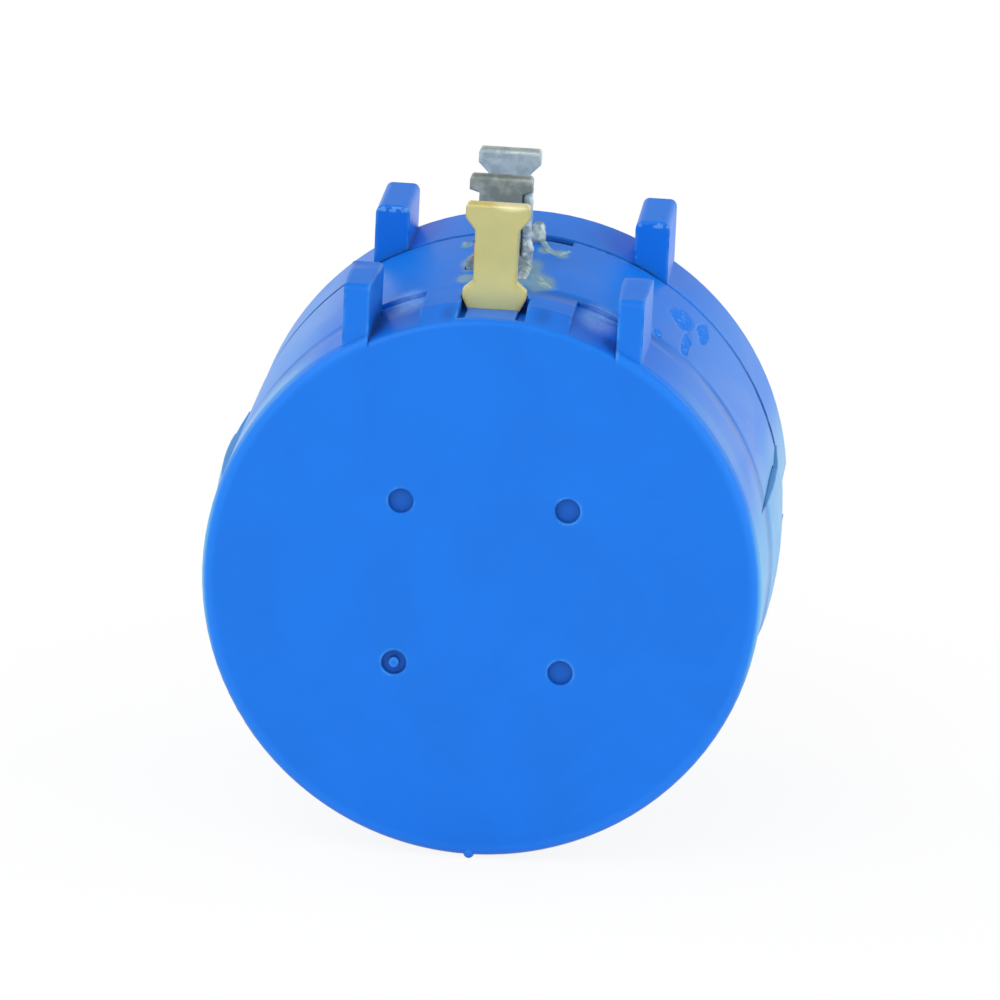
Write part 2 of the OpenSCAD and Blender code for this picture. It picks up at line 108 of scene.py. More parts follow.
def place_on(tree, centre=(0, 0, 0), stretch=(1, 1, 1), turn=(0, 0, 0)):
    """Object coordinates round a centre given in millimetres, each axis divided by its stretch."""
    mapping = tree.nodes.new("ShaderNodeMapping")
    mapping.vector_type = "TEXTURE"
    mapping.inputs["Location"].default_value = [c * MM for c in centre]
    mapping.inputs["Rotation"].default_value = [radians(a) for a in turn]
    mapping.inputs["Scale"].default_value = stretch
    tree.links.new(tree.nodes.new("ShaderNodeTexCoord").outputs["Object"], mapping.inputs["Vector"])
    return mapping.outputs["Vector"]


def along_axes(tree, place):
    """The x, y and z of a place."""
    split = tree.nodes.new("ShaderNodeSeparateXYZ")
    tree.links.new(place, split.inputs[0])
    return split.outputs


def figure(tree, operation, *values):
    """One step of arithmetic on numbers or other nodes' outputs."""
    node = tree.nodes.new("ShaderNodeMath")
    node.operation = operation
    for socket, value in zip(node.inputs, values):
        feed(tree, socket, value)
    return node.outputs[0]


def product(tree, first, *others):
    for other in others:
        first = figure(tree, "MULTIPLY", first, other)
    return first


def strongest(tree, first, *others):
    for other in others:
        first = figure(tree, "MAXIMUM", first, other)
    return first


def distance(tree, value):
    """How far a value is from 0, on either side."""
    return figure(tree, "ABSOLUTE", value)


def clouds(tree, place, size, detail, distortion=0.0):
    """Noise from 0 to 1, with patches about `size` millimetres across."""
    node = tree.nodes.new("ShaderNodeTexNoise")
    tree.links.new(place, node.inputs["Vector"])
    linked = isinstance(size, bpy.types.NodeSocket)
    scale = figure(tree, "DIVIDE", 1 / MM, size) if linked else 1 / (size * MM)
    feed(tree, node.inputs["Scale"], scale)
    node.inputs["Detail"].default_value = detail
    node.inputs["Distortion"].default_value = distortion
    return node.outputs["Fac"]


def graded(tree, value, start, end, low=0.0, high=1.0):
    """Takes start…end to low…high, held at both ends."""
    node = tree.nodes.new("ShaderNodeMapRange")
    node.interpolation_type = "SMOOTHSTEP"
    for socket, number in zip(node.inputs, (value, start, end, low, high)):
        feed(tree, socket, number)
    return node.outputs[0]


def graded_mm(tree, value, start, end, low=0.0, high=1.0):
    """The same for a distance, with start and end in millimetres."""
    return graded(tree, value, start * MM, end * MM, low, high)


def tinted(tree, share, first, second):
    """Mixes two colours."""
    node = tree.nodes.new("ShaderNodeMix")
    node.data_type = "RGBA"
    factor, first_socket, second_socket = (node.inputs[i] for i in (0, 6, 7))
    feed(tree, factor, share)
    feed(tree, first_socket, first)
    feed(tree, second_socket, second)
    return node.outputs[2]


def layered(tree, colour, *layers):
    """Lays tones over a colour, each given as its mask, its share and the tone."""
    for mask, share, tone in layers:
        colour = tinted(tree, product(tree, mask, share), colour, tone)
    return colour


def blurred_spot(tree, centre, size):
    """1 in the middle of an ellipsoid, falling to 0 at its skin; sizes in millimetres."""
    ball = tree.nodes.new("ShaderNodeTexGradient")
    ball.gradient_type = "SPHERICAL"
    tree.links.new(place_on(tree, centre, [s * MM for s in size]), ball.inputs["Vector"])
    return ball.outputs["Fac"]


def blurred_spots(tree, *spots):
    """Several such spots, each a centre and its size."""
    return strongest(tree, *(blurred_spot(tree, centre, size) for centre, size in spots))


def soft_edges(tree, radius):
    """A normal that rounds the part's edges by a radius in millimetres."""
    bevel = tree.nodes.new("ShaderNodeBevel")
    bevel.samples = 4
    bevel.inputs["Radius"].default_value = radius * MM
    return bevel.outputs["Normal"]


def raised(tree, height, depth, normal=None):
    """A normal with a relief of `depth` millimetres."""
    bump = tree.nodes.new("ShaderNodeBump")
    bump.inputs["Distance"].default_value = depth * MM
    feed(tree, bump.inputs["Height"], height)
    if normal:
        tree.links.new(normal, bump.inputs["Normal"])
    return bump.outputs["Normal"]


def worn_and_lit_edges():
    """Marks the outward edges of a part, broken up by noise; the case paints a highlight there, the
    metals and other plastics a worn tone.
    """
    group, entry, leave = effect("worn_and_lit_edges", {"Width": 0.1, "Patch": 0.3}, ["Mask"])
    inside = group.nodes.new("ShaderNodeAmbientOcclusion")
    inside.inside = True
    inside.samples = 6
    group.links.new(product(group, entry["Width"], MM), inside.inputs["Distance"])
    corner = graded(group, inside.outputs["AO"], 0.95, 0.6)
    broken = graded(group, clouds(group, place_on(group), entry["Patch"], 3), 0.42, 0.62)
    group.links.new(product(group, corner, broken), leave["Mask"])
    return group


def moulded_skin():
    """Fine grain and slow flow clouds of a moulded part."""
    group, entry, leave = effect("moulded_skin", {"Grain": 0.12, "Flow": 3.0}, ["Height", "Clouds"])
    grain = clouds(group, place_on(group), entry["Grain"], 3)
    flow = clouds(group, place_on(group, stretch=(1, 2.2, 1)), entry["Flow"], 3, 0.6)
    group.links.new(grain, leave["Height"])
    group.links.new(graded(group, flow, 0.3, 0.7), leave["Clouds"])
    return group


def crevice():
    """Marks narrow gaps and inner corners, where shade falls and is painted as colour."""
    group, entry, leave = effect("crevice", {"Reach": 0.2}, ["Mask"])
    gap = group.nodes.new("ShaderNodeAmbientOcclusion")
    gap.samples = 6
    group.links.new(product(group, entry["Reach"], MM), gap.inputs["Distance"])
    group.links.new(graded(group, gap.outputs["AO"], 0.62, 0.2), leave["Mask"])
    return group


edge_wear_and_light = worn_and_lit_edges()
skin = moulded_skin()
gap_shade = crevice()


def case_plastic():
    material, tree, shader = part_material("case_plastic")
    here = place_on(tree)
    moulding = use_effect(tree, skin, Grain=0.14, Flow=3.4)
    # the case's outward edges get a painted highlight in the pale blue below
    edge_wear_and_highlight = use_effect(tree, edge_wear_and_light, Width=0.16, Patch=0.9)["Mask"]
    shade = use_effect(tree, gap_shade, Reach=0.22)["Mask"]
    lumpy = clouds(tree, here, 0.22, 4)
    ragged = clouds(tree, place_on(tree, stretch=(0.8, 1.6, 0.8)), 0.9, 6, 0.3)

    # distances from the shaft's axis and, along it, from the middle of the seam
    seam_y = -4.65
    across, ahead, above = along_axes(tree, place_on(tree, (0, seam_y, 0)))
    aside, off_level = distance(tree, across), distance(tree, above)
    squares = figure(tree, "ADD", product(tree, across, across), product(tree, above, above))
    radius = figure(tree, "SQRT", squares)

    # scrapes on the cup's flank on both sides of the lugs, where the satin skin is broken
    scrape = blurred_spots(
        tree, ((6.85, -8.1, 8.77), (1.1, 2.7, 1.1)), ((7.68, -7.4, 8.05), (0.58, 2.7, 0.58)),
        ((7.22, -11.0, 8.47), (0.42, 3.6, 0.42)), ((6.14, -12.84, 9.28), (0.34, 1.1, 0.34)),
        ((-5.9, -8.2, 9.45), (0.25, 1.1, 0.25)))
    broken = graded(tree, product(tree, graded(tree, scrape, 0.0, 0.7), ragged), 0.24, 0.46)
    flecks = product(tree, broken, graded(tree, clouds(tree, here, 0.16, 2), 0.56, 0.66))

    # shade in the seam, which the two clip arms cover and which is tightest high on the right
    half_width = graded_mm(tree, aside, 5, 10, 0.26 * MM, 0.44 * MM)
    line = graded(tree, figure(tree, "DIVIDE", distance(tree, ahead), half_width), 1.2, 0.7)
    off_arms = graded_mm(tree, off_level, 2.85, 2.95)
    on_round = graded_mm(tree, radius, 11.16, 11.13)
    uneven = graded(tree, clouds(tree, here, 0.8, 2), 0.25, 0.6, 0.55, 1.0)
    tight = strongest(tree, graded_mm(tree, across, 5.0, 6.2, 1.0, 0.0),
                      graded_mm(tree, above, 8.6, 3.6, 0.1, 1.0))
    seam = product(tree, line, off_arms, on_round, uneven, tight)
    # the slot in the lid's edge beside the seam is darkened too, as painted shade
    slot = product(tree, blurred_spot(tree, (1.57, -5.1, 10.8), (1.0, 0.8, 0.9)), lumpy)
    seam = strongest(tree, seam, graded(tree, slot, 0.10, 0.2))

    # the terminal bay: a painted pale reflection on its open floor, painted shade at the feet of
    # the posts, beside the gold lug and on the left rear post's inner side, and less gap shade in
    # the pockets by the lug's foot
    wear_and_reflection = blurred_spots(tree, ((3.85, -15.2, 10.1), (1.1, 2.4, 0.8)),
                         ((-3.6, -14.8, 10.2), (1.0, 2.2, 0.8)))
    wear_and_reflection = product(tree, graded(tree, wear_and_reflection, 0.0, 0.7), graded(tree, lumpy, 0.3, 0.6, 0.6, 1.0))
    post_foot = blurred_spots(tree, ((4.75, -17.6, 9.75), (0.8, 1.1, 0.7)),
                              ((-4.8, -16.6, 9.75), (0.9, 2.1, 0.8)))
    beside_lug = blurred_spots(tree, ((1.85, -17.6, 10.75), (0.55, 1.4, 0.4)),
                               ((-1.8, -17.9, 10.75), (0.5, 1.4, 0.4)))
    post_side = blurred_spot(tree, (-4.8, -16.6, 10.8), (0.5, 2.8, 1.5))
    corner = strongest(tree, graded(tree, post_foot, 0.05, 0.6),
                       graded(tree, beside_lug, 0.0, 0.8, 0.0, 0.6),
                       graded(tree, post_side, 0.0, 0.6, 0.0, 0.35))
    lug_pocket = blurred_spots(tree, ((1.2, -18.0, 10.6), (0.6, 1.8, 0.9)),
                               ((-1.2, -18.0, 10.6), (0.6, 1.8, 0.9)))
    shade = product(tree, shade, graded(tree, lug_pocket, 0.1, 0.4, 1.0, 0.0))

    # flux that dried to a thin film round the two end lugs' feet
    film = blurred_spots(
        tree, ((1.2, -12.7, 11.05), (1.25, 2.9, 0.9)), ((0.85, -10.6, 11.1), (0.75, 2.6, 0.6)),
        ((1.15, -7.2, 11.05), (0.5, 1.1, 0.4)), ((1.8, -7.4, 10.97), (0.5, 1.1, 0.4)),
        ((-1.6, -12.8, 11.0), (0.6, 1.2, 0.5)), ((-1.6, -10.2, 11.0), (0.7, 2.2, 0.6)),
        ((-2.06, -6.57, 10.93), (0.4, 0.8, 0.4)))
    film = graded(tree, product(tree, graded(tree, film, 0.0, 0.8), ragged), 0.06, 0.42)

    # a low band round the flank just ahead of the rear face, where the skin shrank in the tool: a
    # shallow relief, with painted shade on it
    skewed = along_axes(tree, place_on(tree, (0, -14.6, 0), turn=(0, 0, 5.4)))
    band = graded_mm(tree, distance(tree, skewed["Y"]), 1.0, 0.1)
    shrink_band_and_shade = product(tree, band, graded(tree, clouds(tree, here, 6.0, 1), 0.35, 0.6))

    # painted sheen: the flanks are paler than the faces, most of all on the left, just behind the
    # rim and on the clip arms
    flank = product(tree, graded_mm(tree, radius, 10.85, 11.0),
                    graded_mm(tree, ahead, -14.4, -14.15))
    side = product(tree, graded_mm(tree, aside, 6.5, 8.5), flank,
                   graded_mm(tree, radius, 11.55, 11.45))
    from_rim = distance(tree, figure(tree, "ADD", ahead, 13.0 * MM))
    by_rim = product(tree, graded_mm(tree, from_rim, 1.1, 0.3), 0.5)
    left = graded_mm(tree, across, 1, -1, 0.3, 0.9)
    arm = product(tree, graded_mm(tree, aside, 9.5, 10.9), graded_mm(tree, off_level, 6.0, 1.0))
    painted_flank_sheen = strongest(tree, product(tree, side, left, figure(tree, "ADD", 0.28, by_rim)),
                      product(tree, arm, flank, 0.8))

    # painted shade: a deeper blue on the lid left of the lugs, which tones down the sheen there
    painted_lid_shade = graded(tree, blurred_spot(tree, (-3.9, -2.2, 10.6), (2.6, 3.2, 1.8)), 0.0, 0.7)

    # a painted highlight on the rear rim, where the face rolls over into the flank
    rim_highlight = product(tree, graded_mm(tree, radius, 10.55, 10.85),
                  graded_mm(tree, ahead, -14.2, -14.35))

    # painted highlights: broken dashes along the seam, and pale on the front posts' rear edges
    glint_dashes = graded(tree, clouds(tree, place_on(tree, stretch=(2, 1, 1)), 0.16, 2), 0.54, 0.6)
    seam_glints = product(tree, blurred_spot(tree, (3.6, -4.8, 10.5), (2.8, 0.4, 1.4)), glint_dashes)
    seam_glints = graded(tree, seam_glints, 0.1, 0.3)
    post_edge_highlight = blurred_spots(tree, ((5.3, -4.55, 11.75), (1.3, 0.25, 0.16)),
                              ((-5.3, -4.55, 11.75), (1.3, 0.25, 0.16)))
    post_edge_highlight = product(tree, graded(tree, post_edge_highlight, 0.1, 0.5), graded(tree, lumpy, 0.5, 0.56))

    # darker in the four dimples of the rear face
    dimple = product(tree, graded_mm(tree, ahead, -14.38, -14.30),
                     graded_mm(tree, ahead, -13.8, -13.95), graded_mm(tree, radius, 9.0, 8.8))

    deep, plain = (0.003, 0.138, 0.62, 1), (0.004, 0.166, 0.735, 1)
    pale_scuff_and_highlight, shaded = (0.10, 0.42, 0.88, 1), (0.002, 0.045, 0.26, 1)
    colour = layered(
        tree, plain, (moulding["Clouds"], 0.4, deep),
        (painted_flank_sheen, 1.0, (0.13, 0.43, 0.72, 1)), (painted_lid_shade, 0.5, (0.001, 0.175, 0.80, 1)),
        (rim_highlight, 0.5, (0.016, 0.22, 0.86, 1)), (dimple, 0.5, (0.003, 0.075, 0.36, 1)),
        (shrink_band_and_shade, 0.8, (0.004, 0.11, 0.50, 1)), (edge_wear_and_highlight, 0.4, pale_scuff_and_highlight),
        (broken, 0.8, (0.002, 0.15, 0.74, 1)), (flecks, 0.6, pale_scuff_and_highlight),
        (post_edge_highlight, 0.5, (0.20, 0.50, 0.92, 1)), (wear_and_reflection, 0.8, (0.22, 0.43, 0.85, 1)),
        (corner, 0.6, shaded), (shade, 0.8, shaded), (film, 0.9, (0.16, 0.31, 0.44, 1)),
        (seam, 0.9, (0.003, 0.055, 0.28, 1)), (seam_glints, 0.5, (0.12, 0.45, 0.85, 1)))
    satin = graded(tree, moulding["Clouds"], 0, 1, 0.40, 0.33)
    matt = product(tree, strongest(tree, broken, seam), 0.9)

    slow = clouds(tree, place_on(tree, stretch=(1, 1.6, 1)), 1.6, 2)
    waved = raised(tree, slow, 0.010, soft_edges(tree, 0.1))
    grained = raised(tree, moulding["Height"], 0.005, waved)
    sunk = raised(tree, shrink_band_and_shade, -0.14, grained)
    scuffed = raised(tree, product(tree, broken, lumpy), -0.07, sunk)
    coat(tree, shader, colour, strongest(tree, satin, matt), scuffed)
    shader.inputs["Specular IOR Level"].default_value = 0.2
    return material


def dress(material, *names):
    """Gives CAD nodes one material."""
    for name in names:
        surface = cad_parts[name].data
        surface.materials.clear()
        surface.materials.append(material)


dress(case_plastic(), "rear_cup", "front_lid")


# ---- The three solder lugs ----
# Blanked from brass sheet and pushed through the cup's wall: the wiper's lug is gold-flashed,
# the two end lugs are tinned and have dulled round their joints.

def tarnish():
    """Blotches on plated metal."""
    group, entry, leave = effect("tarnish", {"Size": 0.5}, ["Mask", "Height"])
    spread = clouds(group, place_on(group), entry["Size"], 4, 0.4)
    specks = clouds(group, place_on(group), product(group, entry["Size"], 0.12), 3)
    group.links.new(graded(group, spread, 0.36, 0.64), leave["Mask"])
    group.links.new(specks, leave["Height"])
    return group


blotches = tarnish()


def lightened(colour, times, plus=0.0):
    return [min(1, times * c + plus) for c in colour[:3]] + [1]


def gold_flash(name, bright, dull):
    """Gold plate, painted paler at the lug's foot where the bay shades it, rubbed to a deeper gold
    at its edges, and smoother on its top, with a painted highlight there.
    """
    material, tree, shader = part_material(name)
    stain = use_effect(tree, blotches, Size=0.9)
    edge_wear_and_highlight = use_effect(tree, edge_wear_and_light, Width=0.3, Patch=1.5)["Mask"]
    height = along_axes(tree, place_on(tree))["Z"]
    painted_foot_light = graded_mm(tree, height, 13.2, 10.6)
    lit_smooth_crown = graded_mm(tree, height, 14.7, 14.9)
    crown_highlight = blurred_spot(tree, (0.35, -15.9, 14.87), (1.1, 0.9, 0.4))
    crown_highlight = graded(tree, crown_highlight, 0.1, 0.6)
    colour = layered(tree, dull, (stain["Mask"], 0.4, bright), (painted_foot_light, 0.8, lightened(bright, 1.65)),
                     (edge_wear_and_highlight, 0.85, (0.72, 0.50, 0.10, 1)), (lit_smooth_crown, 0.8, (0.88, 0.68, 0.20, 1)),
                     (crown_highlight, 0.7, (1.0, 0.93, 0.58, 1)))
    satin = graded(tree, stain["Mask"], 0, 1, 0.46, 0.34)
    coat(tree, shader, colour, figure(tree, "SUBTRACT", satin, product(tree, lit_smooth_crown, 0.2)),
         raised(tree, stain["Height"], 0.006, soft_edges(tree, 0.13)))
    shader.inputs["Metallic"].default_value = 0.4
    return material


def tin_plate(name, bright, dull, stain_size):
    material, tree, shader = part_material(name)
    stain = use_effect(tree, blotches, Size=stain_size)
    edge_wear_and_highlight = use_effect(tree, edge_wear_and_light, Width=0.2, Patch=0.8)["Mask"]
    colour = layered(tree, dull, (stain["Mask"], 1.0, bright), (edge_wear_and_highlight, 0.5, (0.62, 0.68, 0.70, 1)))
    coat(tree, shader, colour, graded(tree, stain["Mask"], 0, 1, 0.5, 0.3),
         raised(tree, stain["Height"], 0.014, soft_edges(tree, 0.13)))
    shader.inputs["Metallic"].default_value = 0.65
    return material


gold = gold_flash("gold_plate", bright=(0.56, 0.52, 0.20, 1), dull=(0.52, 0.51, 0.225, 1))
tinned = tin_plate("tin_plate", bright=(0.62, 0.73, 0.73, 1), dull=(0.40, 0.50, 0.54, 1),
                   stain_size=0.45)
browned = tin_plate("browned_tin", bright=(0.38, 0.43, 0.42, 1), dull=(0.22, 0.26, 0.25, 1),
                    stain_size=0.6)
dress(gold, "wiper_terminal")
dress(tinned, "cw_terminal")
dress(browned, "ccw_terminal")


# ---- Solder and flux on the end lugs ----
# Tin-lead solder left on the two end lugs, with thin grey runs of flux that dried on the case.
# Each body is made of round lumps that are fused, then given the uneven skin of a hand joint.

def finished(name, surface, material, body):
    """Makes a piece of a bmesh and lets it ride on a body."""
    bmesh.ops.recalc_face_normals(surface, faces=surface.faces)
    mesh = bpy.data.meshes.new(name)
    surface.to_mesh(mesh)
    surface.free()
    mesh.materials.append(material)
    piece = bpy.data.objects.new(name, mesh)
    bpy.context.collection.objects.link(piece)
    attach(piece, body)
    return piece


def run(start, end, count):
    """Lumps from one to another, each (x, y, z, radius) in millimetres."""
    shares = [i / (count - 1) for i in range(count)]
    return [[a + (b - a) * t for a, b in zip(start, end)] for t in shares]


def on_case(x, y, height, radius):
    """A lump whose centre stands `height` over the case's round outside."""
    case_r = 11.125
    return [x, y, (case_r ** 2 - x ** 2) ** 0.5 + height, radius]


def fused(name, lumps, material, voxel=0.045, unevenness=0.03):
    """Lumps grown together into one body with an uneven skin; sizes in millimetres."""
    blank = bmesh.new()
    for x, y, z, radius in lumps:
        bmesh.ops.create_icosphere(blank, subdivisions=3, radius=radius * MM,
                                   matrix=Matrix.Translation(Vector((x, y, z)) * MM))
    rough = bpy.data.meshes.new(name + "_blank")
    blank.to_mesh(rough)
    blank.free()
    body = bpy.data.objects.new(name + "_blank", rough)
    bpy.context.collection.objects.link(body)
    remesh = body.modifiers.new("fuse", "REMESH")
    remesh.mode = "VOXEL"
    remesh.voxel_size = voxel * MM
    bpy.context.view_layer.update()
    grown = body.evaluated_get(bpy.context.evaluated_depsgraph_get())
    joined = bpy.data.meshes.new_from_object(grown)
    bpy.data.objects.remove(body)
    surface = bmesh.new()
    surface.from_mesh(joined)
    for _ in range(2):
        bmesh.ops.smooth_vert(surface, verts=surface.verts, factor=0.5,
                              use_axis_x=True, use_axis_y=True, use_axis_z=True)
    surface.normal_update()
    broad, fine = 0.32 * MM, 0.12 * MM
    for vert in surface.verts:
        swell = relief.noise(vert.co / broad) + 0.5 * relief.noise(vert.co / fine)
        vert.co += vert.normal * (swell * unevenness * MM)
    for face in surface.faces:
        face.smooth = True
    return finished(name, surface, material, "case")


def solder_metal():
    material, tree, shader = part_material("solder")
    stain = use_effect(tree, blotches, Size=0.35)
    colour = tinted(tree, stain["Mask"], (0.30, 0.39, 0.44, 1), (0.50, 0.60, 0.63, 1))
    coat(tree, shader, colour, graded(tree, stain["Mask"], 0, 1, 0.48, 0.28),
         raised(tree, stain["Height"], 0.02))
    shader.inputs["Metallic"].default_value = 0.6
    return material


def flux_resin():
    material, tree, shader = part_material("flux")
    stain = use_effect(tree, blotches, Size=0.5)
    colour = tinted(tree, stain["Mask"], (0.14, 0.30, 0.44, 1), (0.30, 0.44, 0.48, 1))
    coat(tree, shader, colour, graded(tree, stain["Mask"], 0, 1, 0.35, 0.15),
         raised(tree, stain["Height"], 0.02))
    return material


solder = solder_metal()
flux = flux_resin()
CW_Y, CCW_Y = -5.85, -10.80
fused("solder_cw", run((0.76, CW_Y, 11.66, 0.29), (0.72, CW_Y - 0.1, 11.25, 0.36), 4)
      + run((0.86, CW_Y - 0.1, 11.4, 0.22), (0.45, CW_Y, 11.2, 0.42), 3), solder)
fused("solder_ccw", run((0.60, CCW_Y, 14.7, 0.22), (0.61, CCW_Y, 12.3, 0.22), 17)
      + run((0.61, CCW_Y, 12.3, 0.22), (0.68, CCW_Y, 11.87, 0.27), 3)
      + run((0.68, CCW_Y, 11.87, 0.27), (0.60, CCW_Y, 11.4, 0.30), 3)
      + run((0.60, CCW_Y, 11.4, 0.30), (0.50, CCW_Y, 11.1, 0.40), 3)
      + run(on_case(0.66, CCW_Y + 0.2, 0.02, 0.24), on_case(0.62, CCW_Y - 1.7, -0.06, 0.22), 8)
      + run((-0.95, CCW_Y, 14.5, 0.2), (-1.5, CCW_Y, 14.5, 0.22), 5), solder)
fused("flux_runs", run(on_case(0.95, -6.0, 0.02, 0.15), on_case(1.3, -7.3, -0.02, 0.15), 9)
      + run(on_case(1.3, -7.3, -0.02, 0.15), on_case(1.7, -7.7, -0.03, 0.16), 5)
      + run(on_case(1.7, -7.7, -0.03, 0.16), on_case(2.05, -6.7, -0.05, 0.12), 6)
      + run(on_case(1.1, -12.0, -0.52, 0.57), on_case(1.55, -13.3, -0.53, 0.60), 8)
      + run(on_case(-2.1, -6.4, -0.08, 0.16), on_case(-2.2, -6.1, -0.08, 0.14), 3),
      flux, voxel=0.035, unevenness=0.02)


# ---- The threaded bushing ----
# Turned from brass and nickel plated, with a 32-per-inch mounting thread, a plain collar in the
# lid's face and a twelve-sided flange moulded in behind it. Its bore carries the shaft.

def turned_rings():
    """Tool marks round the shaft's axis."""
    group, entry, leave = effect("turned_rings", {"Spacing": 0.06}, ["Height"])
    along = place_on(group, stretch=(40, 1, 40))
    group.links.new(clouds(group, along, entry["Spacing"], 3), leave["Height"])
    return group


tool_marks = turned_rings()
TOUCH = 1e-7  # metres; points nearer than this are one point


def turned_metal(name, colour, wear_and_reflection, roughness, spacing, depth, edge=0.06):
    material, tree, shader = part_material(name)
    marks = use_effect(tree, tool_marks, Spacing=spacing)["Height"]
    stain = use_effect(tree, blotches, Size=1.4)["Mask"]
    coat(tree, shader, layered(tree, colour, (stain, 0.5, wear_and_reflection)),
         graded(tree, marks, 0.3, 0.7, roughness - 0.06, roughness + 0.08),
         raised(tree, marks, depth, soft_edges(tree, edge)))
    shader.inputs["Metallic"].default_value = 1.0
    return material


def ring_at(surface, y, radius, sides):
    """Adds a ring round the shaft's axis and returns its edges."""
    stood = Matrix.Translation((0, y * MM, 0)) @ Matrix.Rotation(pi / 2, 4, "X")
    made = bmesh.ops.create_circle(surface, cap_ends=False, segments=sides,
                                   radius=radius * MM, matrix=stood)
    return list({edge for vert in made["verts"] for edge in vert.link_edges})


def open_rim(surface, y):
    """The free edges that lie in the plane y."""
    return [edge for edge in surface.edges if edge.is_boundary
            and all(abs(vert.co.y - y * MM) < TOUCH for vert in edge.verts)]


def threaded_bushing():
    crest, root, bore = 4.7625, 4.28, 3.20
    length, lead = 7.93, 0.5
    pitch, crest_flat, tan_30 = 25.4 / 32, 0.099, 0.5774
    flank = (crest - root) * tan_30
    collar_r, flange_r, flange_front, back = 5.2125, 6.5125, -1.2, -2.4
    steps, turns, run_in = 48, 13, -1.2
    round_sides, flange_sides = 96, 12

    # one tooth's outline, swept along the helix from behind the face to past the end
    surface = bmesh.new()
    outline = [(root, 0), (crest, flank), (crest, flank + crest_flat),
               (root, 2 * flank + crest_flat), (root, pitch)]
    points = [surface.verts.new((0, (run_in + y) * MM, r * MM)) for r, y in outline]
    profile = [surface.edges.new(pair) for pair in zip(points, points[1:])]
    bmesh.ops.spin(surface, geom=points + profile, cent=(0, 0, 0), axis=(0, 1, 0),
                   dvec=(0, pitch * MM / steps, 0), angle=2 * pi * turns, steps=steps * turns,
                   use_merge=False)
    bmesh.ops.remove_doubles(surface, verts=surface.verts, dist=TOUCH)

    # cut off square at both ends, with a 45-degree lead at the front
    for y, inner, outer in ((0, True, False), (length - lead, False, False), (length, False, True)):
        everything = surface.verts[:] + surface.edges[:] + surface.faces[:]
        bmesh.ops.bisect_plane(surface, geom=everything, plane_co=(0, y * MM, 0),
                               plane_no=(0, 1, 0), clear_inner=inner, clear_outer=outer)
    for vert in surface.verts:
        radius = (vert.co.x ** 2 + vert.co.z ** 2) ** 0.5
        allowed = (crest + length - lead) * MM - vert.co.y
        if radius > allowed:
            vert.co.x *= allowed / radius
            vert.co.z *= allowed / radius

    # the bore, the collar and the flange, and the flat faces between them
    thread_foot, thread_end = open_rim(surface, 0), open_rim(surface, length)
    bore_front = ring_at(surface, length, bore, round_sides)
    bore_back = ring_at(surface, back, bore, round_sides)
    collar_face = ring_at(surface, 0, collar_r, round_sides)
    collar_root = ring_at(surface, flange_front, collar_r, round_sides)
    flange_face = ring_at(surface, flange_front, flange_r, flange_sides)
    flange_back = ring_at(surface, back, flange_r, flange_sides)
    for one, other in ((bore_front, bore_back), (collar_face, collar_root),
                       (flange_face, flange_back)):
        bmesh.ops.bridge_loops(surface, edges=one + other)
    for one, other in ((thread_end, bore_front), (collar_face, thread_foot),
                       (collar_root, flange_face), (flange_back, bore_back)):
        bmesh.ops.triangle_fill(surface, use_beauty=True, edges=one + other, normal=(0, 1, 0))
    for face in surface.faces:
        face.smooth = True
    return surface


nickel = turned_metal("nickel_plate", (0.66, 0.64, 0.59, 1), (0.50, 0.48, 0.43, 1),
                      roughness=0.26, spacing=0.05, depth=0.003)
threads = finished("threaded_bushing", threaded_bushing(), nickel, "case")
threads.data.set_sharp_from_angle(angle=radians(30))
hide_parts("bushing")
dress(nickel, "bushing")


# ---- The shaft and what keeps it in place ----
# A ground stainless shaft with a screwdriver slot. A spring-steel ring in its groove and a
# dished washer take up the end play against a thin bearing washer on the lid.

ground_steel = turned_metal("shaft_steel", (0.60, 0.60, 0.60, 1), (0.50, 0.50, 0.51, 1),
                            roughness=0.22, spacing=0.03, depth=0.0015)
spring_steel = turned_metal("spring_steel", (0.42, 0.42, 0.43, 1), (0.30, 0.29, 0.29, 1),
                            roughness=0.32, spacing=0.09, depth=0.003, edge=0.04)
dress(ground_steel, "shaft")
dress(spring_steel, "retaining_ring", "spring_washer")


def bearing_plastic(name, plain, shade, roughness):
    material, tree, shader = part_material(name)
    moulding = use_effect(tree, skin, Grain=0.10, Flow=2.0)
    edge_wear_and_highlight = use_effect(tree, edge_wear_and_light, Width=0.08, Patch=0.3)["Mask"]
    colour = layered(tree, plain, (moulding["Clouds"], 1.0, shade),
                     (edge_wear_and_highlight, 0.5, lightened(plain, 1.2, 0.02)))
    coat(tree, shader, colour, graded(tree, moulding["Clouds"], 0, 1, roughness, roughness + 0.1),
         raised(tree, moulding["Height"], 0.004, soft_edges(tree, 0.05)))
    return material


ivory = bearing_plastic("inner_plastic", (0.74, 0.70, 0.58, 1), (0.66, 0.61, 0.48, 1),
                        roughness=0.38)
dress(ivory, "thrust_washer")


# ---- The rotor and the sliding wiper ----
# An ivory rotor turns with the shaft and carries a black carriage in its slot. Gold-flashed
# spring contacts take the signal from the winding to the slip disc at the rear.

black = bearing_plastic("black_plastic", (0.028, 0.028, 0.030, 1), (0.018, 0.018, 0.019, 1),
                        roughness=0.34)
bright_gold = gold_flash("contact_gold", bright=(0.80, 0.58, 0.22, 1), dull=(0.66, 0.46, 0.16, 1))
dress(ivory, "rotor")
dress(black, "wiper_carriage")
dress(bright_gold, "wiper_contact", "collector_bar", "slip_disc", "wiper_brush")
dress(tinned, "ccw_end_strap", "cw_end_strap")


# ---- The resistance element ----
# Fine bare resistance wire wound close on a copper-coloured enamelled rod, which is then coiled
# ten times round the inside of the cup.

